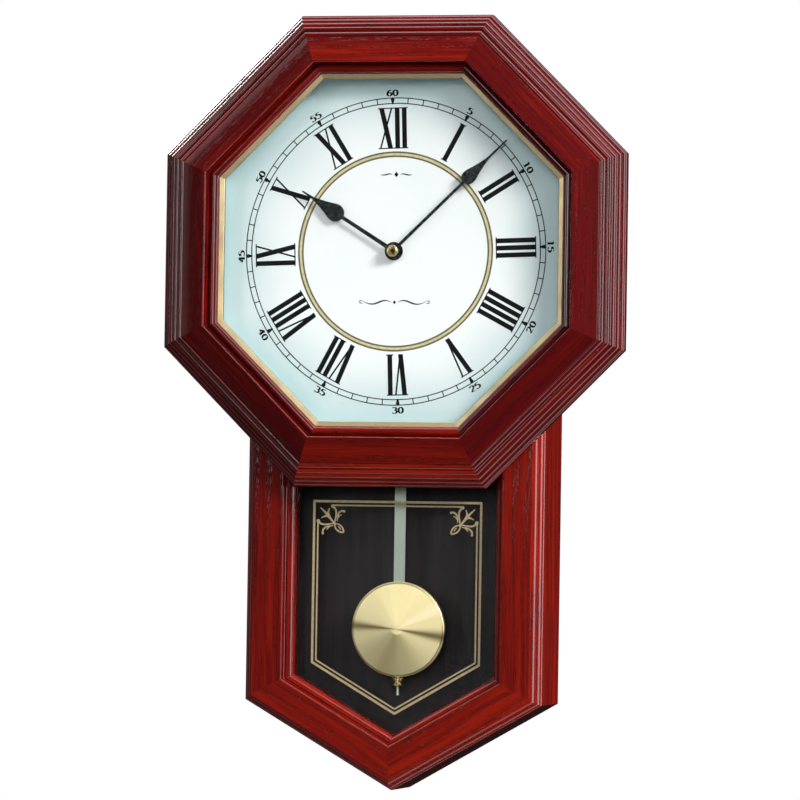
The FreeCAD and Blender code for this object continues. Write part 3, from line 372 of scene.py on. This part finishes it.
def dress_cad():
    for node, angle, seed, tone in wood_nodes():
        dress(node, wood(node + "_wood", angle, seed, tone))
    brass = metal("brass", (0.68, 0.52, 0.22), 0.22, tarnish=0.2)
    plated = metal("plated_steel", (0.62, 0.62, 0.60), 0.32)
    black = plastic("black_plastic", (0.022, 0.022, 0.024), 0.48, 0.00006)
    knob = plastic("knob_plastic", (0.075, 0.075, 0.08), 0.36)
    gear = plastic("gear_plastic", (0.80, 0.79, 0.74), 0.34, 0.00001)
    copper = metal("copper_coil", (0.66, 0.27, 0.12), 0.25, brush=(4000, 4000, 600))
    groups = {
        board("plain_wood", (0.52, 0.34, 0.19), (0.33, 0.19, 0.095), angle=0): ["hanging_rail"],
        board("dark_panel", (0.022, 0.0125, 0.013), (0.008, 0.0062, 0.0075), rough=0.42): ["back_board"],
        plated: ["hanger_plate", "wood_screws", "dial_clips"],
        metal("gold_trim", (0.50, 0.39, 0.22), 0.34, tarnish=0.3): ["dial_trim"],
        clear_glass("dial_glass", (0.985, 0.992, 0.99)): ["dial_glass"],
        clear_glass("window_glass", (0.97, 0.98, 0.98)): ["window_glass"],
        dial_white(): ["dial_plate"],
        plastic("white_spacer", (0.72, 0.76, 0.76), 0.5): ["dial_spacer"],
        black: ["movement_tray", "movement_cover", "battery_holder", "battery_cover", "pendulum_drive"],
        cell_jacket(): ["batteries"],
        metal("spring_steel", (0.70, 0.70, 0.69), 0.2): ["battery_contacts"],
        brass: ["centre_bush", "bush_nut", "hour_wheel", "rating_nut", "hand_nut"],
        metal("arbor_steel", (0.035, 0.035, 0.040), 0.4): ["centre_arbor"],
        gear: ["minute_wheel", "train_bridge", "motor_rotor"],
        knob: ["set_knob", "volume_knob", "chime_selector", "demo_button", "pendulum_hanger"],
        copper: ["motor_coil", "drive_coil"],
        metal("stator_steel", (0.45, 0.45, 0.47), 0.38, brush=(300, 3000, 3000)): ["motor_stator"],
        plastic("board_green", (0.02, 0.16, 0.06), 0.3): ["circuit_board"],
        metal("speaker_metal", (0.38, 0.38, 0.40), 0.36): ["speaker_frame"],
        plastic("speaker_paper", (0.05, 0.05, 0.05), 0.8, 0.0001, 900): ["speaker_cone"],
        metal("rod_metal", (0.56, 0.62, 0.52), 0.34, brush=(2500, 2500, 120),
              tarnish=0.12): ["pendulum_rod"],
        bob_brass(): ["pendulum_bob"],
        ink("black_hands", (0.0035, 0.0065, 0.0080), 0.26): ["hour_hand", "minute_hand"],
    }
    for material, nodes in groups.items():
        for node in nodes:
            dress(node, material)


def cell_jacket():
    """Dry cells: a dark film with a copper-coloured band round one end."""
    look = Look("cell_jacket")
    low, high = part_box("batteries")
    parts = look.node("SeparateXYZ", {0: look.place})
    share = look.span(parts.outputs["X"], low.x, high.x)
    band = look.math("GREATER_THAN", share, 0.72)
    smudge = look.noise(look.along(), scale=120, detail=3)
    jacket = look.mix(look.span(smudge, 0.3, 0.7), (0.012, 0.013, 0.018), (0.03, 0.031, 0.038))
    look.set(Base_Color=look.mix(band, jacket, (0.55, 0.28, 0.10)), Metallic=band,
             Roughness=look.span(smudge, 0.3, 0.7, 0.22, 0.34), Coat_Weight=0.4)
    return look.material


# ------------------------------------------------------------ printed shapes

def line_shape(start, end, width):
    """The four corners of a straight stroke."""
    (x0, z0), (x1, z1) = start, end
    length = math.hypot(x1 - x0, z1 - z0)
    nx, nz = -(z1 - z0) / length * width / 2, (x1 - x0) / length * width / 2
    return [(x0 + nx, z0 + nz), (x0 - nx, z0 - nz), (x1 - nx, z1 - nz), (x1 + nx, z1 + nz)]


def neighbours(path, n):
    """The points before and after the one at n, or the point itself at an end."""
    return path[max(n - 1, 0)], path[min(n + 1, len(path) - 1)]


def ribbon(path, widths):
    """Quads along a path whose width changes from point to point."""
    edges = []
    for n, (x, z) in enumerate(path):
        (xa, za), (xb, zb) = neighbours(path, n)
        length = math.hypot(xb - xa, zb - za) or 1.0
        half = widths[n] / 2
        nx, nz = -(zb - za) / length * half, (xb - xa) / length * half
        edges.append(((x + nx, z + nz), (x - nx, z - nz)))
    return [[a[0], a[1], b[1], b[0]] for a, b in zip(edges, edges[1:])]


def arc(centre, radii, start, end, steps=14):
    """Points on an ellipse, angles in degrees anticlockwise from +x."""
    turns = [math.radians(start + (end - start) * n / steps) for n in range(steps + 1)]
    return [(centre[0] + radii[0] * math.cos(t), centre[1] + radii[1] * math.sin(t)) for t in turns]


def disc(centre, radius, steps=20):
    return arc(centre, (radius, radius), 0, 360 - 360 / steps, steps - 1)


def bezier(points, steps=12):
    """Points along a cubic curve."""
    made = []
    for n in range(steps + 1):
        t = n / steps
        w = ((1 - t) ** 3, 3 * t * (1 - t) ** 2, 3 * t * t * (1 - t), t ** 3)
        made.append(tuple(sum(k * p[axis] for k, p in zip(w, points)) for axis in (0, 1)))
    return made


def tapered(points, start, middle, end):
    """A curved stroke with a width at its start, middle and end."""
    path = bezier(points)
    swell = 2 * middle - (start + end) / 2
    widths = []
    for n in range(len(path)):
        t = n / (len(path) - 1)
        widths.append((1 - t) ** 2 * start + 2 * t * (1 - t) * swell + t * t * end)
    return ribbon(path, widths)


def ring_shapes(inner, outer, steps=180):
    """Quads that fill a ring."""
    made = []
    for n in range(steps):
        a, b = (2 * math.pi * k / steps for k in (n, n + 1))
        corners = ((inner, a), (outer, a), (outer, b), (inner, b))
        made.append([(r * math.sin(t), r * math.cos(t)) for r, t in corners])
    return made


def turned_shapes(shapes, degrees):
    """Shapes turned clockwise about the origin."""
    c, s = math.cos(math.radians(degrees)), math.sin(math.radians(degrees))
    return [[(x * c + z * s, z * c - x * s) for x, z in shape] for shape in shapes]


def moved_shapes(shapes, dx, dz, scale=1.0, flip=1):
    """Shapes scaled, mirrored if flip is -1, and moved."""
    return [[(flip * x * scale + dx, z * scale + dz) for x, z in shape] for shape in shapes]


def print_piece(name, shapes, back, front, material, origin):
    """One closed, thin solid from overlapping flat shapes in mm, printed on the case."""
    points, faces = [], []
    for shape in shapes:
        area = sum(a[0] * b[1] - b[0] * a[1] for a, b in zip(shape, shape[1:] + shape[:1]))
        faces.append([len(points) + n for n in range(len(shape))])
        points += [Vector(p) for p in (shape if area > 0 else shape[::-1])]
    flat, _, tiles, _, _, sources = delaunay_2d_cdt(points, [], faces, 1, 1e-5)
    mesh = bmesh.new()
    corners = [mesh.verts.new((origin[0] + p.x * MM, front, origin[1] + p.y * MM)) for p in flat]
    for tile, source in zip(tiles, sources):
        if source:
            mesh.faces.new([corners[n] for n in tile])
    bmesh.ops.delete(mesh, geom=[v for v in mesh.verts if not v.link_faces], context="VERTS")
    bmesh.ops.dissolve_limit(mesh, angle_limit=math.radians(0.5), verts=mesh.verts, edges=mesh.edges)
    bmesh.ops.triangulate(mesh, faces=mesh.faces)
    rear = bmesh.ops.extrude_face_region(mesh, geom=mesh.faces[:])
    bmesh.ops.translate(mesh, verts=[g for g in rear["geom"] if isinstance(g, bmesh.types.BMVert)],
                        vec=(0, back - front, 0))
    bmesh.ops.recalc_face_normals(mesh, faces=mesh.faces)
    data = bpy.data.meshes.new(name)
    mesh.to_mesh(data)
    mesh.free()
    data.materials.append(material)
    piece = bpy.data.objects.new(name, data)
    bpy.context.scene.collection.objects.link(piece)
    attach(piece, "case")
    return piece


# ----------------------------------------------------------------- the dial

def slab(x, z, width):
    """A serif: a thin bar across the end of a stem."""
    return [(x - width / 2, z - SERIF / 2), (x + width / 2, z - SERIF / 2),
            (x + width / 2, z + SERIF / 2), (x - width / 2, z + SERIF / 2)]


def slanted_stem(x_low, x_high, width):
    """A stroke from the numeral's foot to its head, cut level at both ends."""
    lean = math.hypot(1, (x_high - x_low) / (NUMERAL_OUTER - NUMERAL_INNER)) * width / 2
    return [(x_low - lean, NUMERAL_INNER), (x_low + lean, NUMERAL_INNER),
            (x_high + lean, NUMERAL_OUTER), (x_high - lean, NUMERAL_OUTER)]


def letter(kind, x, width):
    """One Roman letter centred at x, its foot towards the dial's centre, its serifs joined up."""
    head = slab(x, NUMERAL_OUTER - SERIF / 2, width)
    foot = slab(x, NUMERAL_INNER + SERIF / 2, width)
    if kind == "I":
        return [slanted_stem(x, x, STEM), foot, head]
    spread = width / 2 - STEM / 2 - OVERHANG
    hair = spread + (STEM - HAIRLINE) / 2
    if kind == "V":
        return [slanted_stem(x, x - spread, STEM), slanted_stem(x + 0.3, x + hair, HAIRLINE), head]
    return [slanted_stem(x + spread, x - spread, STEM), slanted_stem(x - hair, x + hair, HAIRLINE),
            foot, head]


def numeral(text):
    widths = [{"I": PITCH_I, "V": WIDTH_V, "X": WIDTH_X}[k] for k in text]
    x, made = -sum(widths) / 2, []
    for kind, width in zip(text, widths):
        made += letter(kind, x + width / 2, width)
        x += width
    return made


# Strokes of each figure, in a box 0.6 wide and 1 high
DIGITS = {
    "0": [arc((0.30, 0.50), (0.22, 0.46), 90, 450, 24)],
    "1": [[(0.12, 0.84), (0.30, 0.98)], [(0.31, 0.98), (0.31, 0.03)], [(0.14, 0.03), (0.48, 0.03)]],
    "2": [arc((0.29, 0.71), (0.21, 0.25), 165, -35), [(0.46, 0.57), (0.08, 0.05)],
          [(0.07, 0.05), (0.54, 0.05)]],
    "3": [arc((0.27, 0.74), (0.19, 0.22), 150, -90), arc((0.27, 0.27), (0.24, 0.25), 90, -150)],
    "4": [[(0.40, 0.98), (0.05, 0.32)], [(0.04, 0.32), (0.57, 0.32)], [(0.40, 0.98), (0.40, 0.03)],
          [(0.26, 0.03), (0.54, 0.03)]],
    "5": [[(0.14, 0.94), (0.50, 0.94)], [(0.15, 0.95), (0.12, 0.55)],
          arc((0.27, 0.33), (0.24, 0.30), 125, -145)],
    "6": [arc((0.30, 0.30), (0.21, 0.27), 90, 450, 24), arc((0.52, 0.34), (0.43, 0.62), 182, 95)],
}


def digits(text):
    """Figures written with a broad nib: down strokes thick, cross strokes thin."""
    made, x = [], -ADVANCE / 2 * len(text)
    for figure in text:
        for stroke in DIGITS[figure]:
            widths = []
            for n in range(len(stroke)):
                (xa, za), (xb, zb) = neighbours(stroke, n)
                steep = abs(zb - za) / (math.hypot(xb - xa, zb - za) or 1.0)
                widths.append(NIB_THIN + NIB_SWELL * steep)
            made += moved_shapes(ribbon(stroke, widths), x, -0.5)
        x += ADVANCE
    wide = [[(DIGIT_STRETCH * x, z) for x, z in shape] for shape in made]
    upright = turned_shapes(wide, 180) if 15 < int(text) < 45 else wide
    return moved_shapes(upright, 0, DIGIT_RADIUS, DIGIT_HEIGHT)


def minute_mark():
    """A wedge across the track, its narrow end inwards."""
    narrow, wide, shoulder = 0.45, 1.55, TRACK_OUTER - 0.9
    return [(-narrow, TRACK_INNER - 0.6), (narrow, TRACK_INNER - 0.6), (wide, shoulder),
            (0, TRACK_OUTER + 0.5), (-wide, shoulder)]


def dial_ink():
    numerals = [s for n, text in enumerate(NUMERALS) for s in turned_shapes(numeral(text), 30 * n)]
    track = ring_shapes(TRACK_INNER - TRACK_LINE / 2, TRACK_INNER + TRACK_LINE / 2)
    track += ring_shapes(TRACK_OUTER - TRACK_LINE / 2, TRACK_OUTER + TRACK_LINE / 2)
    tick = line_shape((0, TRACK_INNER), (0, TRACK_OUTER), TRACK_LINE)
    figures = []
    for minute in range(60):
        track += turned_shapes([tick], 6 * minute)
        if minute % 5 == 0:
            track += turned_shapes([minute_mark()], 6 * minute)
            figures += turned_shapes(digits(str(minute or 60)), 6 * minute)
    return numerals, track, figures


def diamond(z, half_width, half_height):
    return [(0, z - half_height), (half_width, z), (0, z + half_height), (-half_width, z)]


def dial_flourishes():
    """Plain scrolls where the maker's words would be."""
    made = [diamond(LOWER_FLOURISH, 1.2, 1.5), diamond(UPPER_FLOURISH, 1.6, 2.1)]
    lower = tapered([(2.5, 0), (11, 5.0), (13, -5.6), (24, 0.6)], 0.3, 1.2, 0.25)
    lower += tapered([(24, 0.6), (28, 3.0), (27, -2.0), (24.5, -0.6)], 0.25, 0.7, 0.3)
    upper = tapered([(3.2, 0), (6, 1.6), (9, -1.6), (12, 0)], 0.3, 1.0, 0.25)
    for side in (1, -1):
        made += moved_shapes(lower, 0, LOWER_FLOURISH, flip=side)
        made += moved_shapes(upper, 0, UPPER_FLOURISH, flip=side)
    return made


def print_dial():
    black = ink("dial_ink", (0.0025, 0.0028, 0.0032), 0.6, shine=0.12)
    olive = ink("ring_ink_edge", (0.105, 0.088, 0.030), 0.5)
    gold = ink("ring_ink", (0.56, 0.50, 0.29), 0.42)
    where = (AXIS_X, AXIS_Z)
    back, front = DIAL_FRONT + INK_SINK * MM, DIAL_FRONT - INK_HEIGHT * MM
    numerals, track, figures = (turned_shapes(shapes, PRINT_TWIST) for shapes in dial_ink())
    for name, shapes in (("dial_numerals", numerals), ("dial_minute_track", track),
                         ("dial_minute_figures", figures), ("dial_flourishes", dial_flourishes())):
        print_piece(name, shapes, back, front, black, where)
    edge = ring_shapes(RING_INNER, RING_OUTER)
    print_piece("dial_ring_edge", edge, back, front, olive, where)
    face = ring_shapes(RING_INNER + RING_EDGE, RING_OUTER - RING_EDGE)
    print_piece("dial_ring", face, back, front - RING_RAISE * MM, gold, where)


# ------------------------------------------------------- the lower pane's print

def border(half, top, shoulder, point, width, gap=0.0):
    """A five-sided line. gap is the length left out at each top corner."""
    right = [(half, top - gap), (half, shoulder), (0, point)]
    made = []
    for side in (1, -1):
        path = [(side * x, z) for x, z in right]
        made += [line_shape(a, b, width) for a, b in zip(path, path[1:])]
        made += [disc(p, width / 2, 12) for p in path]
    made.append(line_shape((gap - half, top), (half - gap, top), width))
    return made


def ornament():
    """A corner spray, in mm right and down from the outer line's corner."""
    made = []
    stems = [
        ([(14.6, 4.2), (18.6, 6.4), (16.6, 12.0), (15.7, 16.6)], 1.5, 1.25, 0.8),
        ([(3.6, 15.0), (5.0, 18.8), (10.6, 17.2), (15.5, 16.4)], 1.5, 1.25, 0.8),
        ([(15.6, 16.6), (12.0, 12.2), (9.8, 9.0), (4.6, 4.8)], 0.8, 1.9, 0.5),
        ([(12.6, 12.2), (10.2, 9.4), (10.4, 7.6), (11.8, 5.4)], 1.0, 1.3, 0.5),
        ([(12.4, 12.4), (9.8, 10.6), (8.0, 10.8), (5.6, 12.6)], 1.0, 1.3, 0.5),
        ([(17.8, 15.0), (17.6, 9.4), (19.8, 5.8), (23.6, 7.6)], 0.6, 1.3, 1.2),
        ([(18.2, 12.4), (19.2, 10.8), (20.2, 10.2), (21.4, 10.0)], 0.9, 0.8, 0.4),
        ([(14.8, 18.2), (9.4, 18.4), (6.0, 20.4), (6.7, 24.4)], 0.6, 1.3, 1.2),
        ([(12.2, 18.8), (11.2, 19.6), (10.4, 20.4), (9.8, 21.6)], 0.9, 0.8, 0.4),
        ([(16.0, 17.0), (19.6, 16.2), (23.0, 19.6), (22.8, 23.2)], 0.7, 1.1, 1.1),
        ([(16.0, 17.0), (15.4, 20.4), (19.0, 23.6), (22.8, 23.2)], 0.7, 1.1, 1.1),
        ([(18.4, 18.6), (19.4, 19.2), (20.2, 20.2), (20.6, 21.4)], 0.4, 0.9, 0.4),
    ]
    for points, start, middle, end in stems:
        made += tapered([(x, -z) for x, z in points], start, middle, end)
    for x, z, radius in ((14.2, 3.6, 1.35), (3.2, 14.8, 1.35), (23.0, 7.4, 0.95), (6.8, 24.0, 0.95),
                         (16.0, 16.8, 1.0), (5.0, 5.0, 0.45), (11.6, 5.6, 0.45), (5.8, 12.4, 0.45)):
        made.append(disc((x, -z), radius))
    return made


def print_pane():
    gold = ink("border_ink", (0.40, 0.31, 0.17), 0.42)
    top, inner_half = -BORDER_TOP, BORDER_HALF - BORDER_GAP
    slant = math.radians(SLANT)
    shoulder, point = -BORDER_SHOULDER, -BORDER_POINT
    inner_shoulder = shoulder + BORDER_GAP * math.tan(slant)
    inner_point = point + BORDER_GAP / math.cos(slant)
    lines = border(BORDER_HALF, top, shoulder, point, BORDER_LINE)
    lines += border(inner_half, top - BORDER_GAP, inner_shoulder, inner_point, INNER_LINE, CORNER_GAP)
    for side in (1, -1):
        lines += moved_shapes(ornament(), -side * BORDER_HALF, top, flip=side)
    where = ((PANE_LOW.x + PANE_HIGH.x) / 2, PANE_HIGH.z)
    back, front = PANE_HIGH.y + INK_HEIGHT * MM, PANE_HIGH.y - INK_SINK * MM
    print_piece("window_border", lines, back, front, gold, where)


# ---------------------------------------------------------------- the studio

# The camera's angles are in degrees; the distance and the studio's sizes are in metres
TARGET = Vector((AXIS_X + 5.0 * MM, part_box("bezel_top")[1].y, AXIS_Z - 110.8 * MM))
CAMERA_TURN, CAMERA_RISE, CAMERA_ROLL = 13.4, 1.6, 0.90
CAMERA_DISTANCE, CAMERA_LENS = 4.0, 241.4
SENSOR = 36.0
FRONT_FADE, REAR_FADE, SIDE_GLOW = (-0.36, -0.26), (0.20, 0.34), (0.3, 5.2)
AHEAD_GLOW, BEHIND_GLOW = 0.05, 0.01
FLOOR_RADIUS, FLOOR_DROP = 0.7, 1.6
LIGHT_SPREAD = 45
LIGHTS = [  # name, place, size, power and colour
    ("key", (2.2, -1.7, 1.1), (0.9, 0.9), 10, (1.0, 0.985, 0.96)),
    ("left_fill", (-1.6, -2.6, 0.3), (0.8, 1.2), 1.1, (0.96, 0.98, 1.0)),
    ("front_fill", (0.5, -3.2, 0.4), (1.4, 1.4), 2.8, (1, 1, 1)),
    ("back", (-1.8, 2.2, 1.0), (1.2, 1.2), 8, (1, 1, 1)),
]


def add_camera():
    turn, rise = math.radians(CAMERA_TURN), math.radians(CAMERA_RISE)
    ahead = Vector((-math.sin(turn) * math.cos(rise), math.cos(turn) * math.cos(rise), math.sin(rise)))
    data = bpy.data.cameras.new("camera")
    data.lens, data.sensor_width = CAMERA_LENS, SENSOR
    camera = bpy.data.objects.new("camera", data)
    camera.matrix_world = (Matrix.Translation(TARGET - ahead * CAMERA_DISTANCE)
                           @ ahead.to_track_quat("-Z", "Y").to_matrix().to_4x4()
                           @ Matrix.Rotation(math.radians(CAMERA_ROLL), 4, "Z"))
    bpy.context.scene.collection.objects.link(camera)
    bpy.context.scene.camera = camera


def add_light(name, where, size, power, colour):
    data = bpy.data.lights.new(name, "AREA")
    data.shape, data.size, data.size_y = "RECTANGLE", *size
    data.energy, data.color, data.spread = power, colour, math.radians(LIGHT_SPREAD)
    light = bpy.data.objects.new(name, data)
    light.location = where
    light.rotation_euler = (TARGET - Vector(where)).to_track_quat("-Z", "Y").to_euler()
    bpy.context.scene.collection.objects.link(light)


def add_world():
    """White to the eye. As a light it is a bright ring round the clock's sides, strongest above
    and to the right, and dim ahead and behind, so that flat faces and panes stay unveiled."""
    world = bpy.data.worlds.new("studio")
    bpy.context.scene.world = world
    look = Nodes(world)
    parts = look.node("SeparateXYZ", {0: look.node("TexCoord").outputs["Generated"]})
    ring = look.math("MULTIPLY", look.span(parts.outputs["Y"], *FRONT_FADE),
                     look.span(parts.outputs["Y"], *REAR_FADE, 1.0, 0.0))
    side = look.span(look.math("ADD", parts.outputs["X"], parts.outputs["Z"]), -1.0, 1.0, *SIDE_GLOW)
    ahead = look.span(parts.outputs["Y"], -0.6, 0.0, AHEAD_GLOW, BEHIND_GLOW)
    glow = look.node("Background", {"Color": (0.95, 0.97, 1.0, 1),
                                    "Strength": look.math("MULTIPLY_ADD", ring, side, ahead)})
    white = look.node("Background", {"Color": (1, 1, 1, 1)})
    seen = look.node("LightPath").outputs["Is Camera Ray"]
    look.blend(seen, glow, white, "World Output")


def add_floor():
    look = Look("studio_floor")
    look.set(Base_Color=look.mix(look.noise(look.along(), scale=3), (0.82, 0.82, 0.81), (0.86, 0.86, 0.86)),
             Roughness=0.8)
    mesh = bmesh.new()
    bmesh.ops.create_circle(mesh, cap_ends=True, segments=96, radius=FLOOR_RADIUS)
    data = bpy.data.meshes.new("studio_floor")
    mesh.to_mesh(data)
    mesh.free()
    data.materials.append(look.material)
    floor = bpy.data.objects.new("studio_floor", data)
    floor.location = (0, 0, CAD_LOW.z - FLOOR_DROP)
    bpy.context.scene.collection.objects.link(floor)


def build_studio():
    add_camera()
    add_world()
    add_floor()
    for light in LIGHTS:
        add_light(*light)
    bpy.context.scene.view_settings.view_transform = "Standard"


dress_cad()
print_dial()
print_pane()
build_studio()
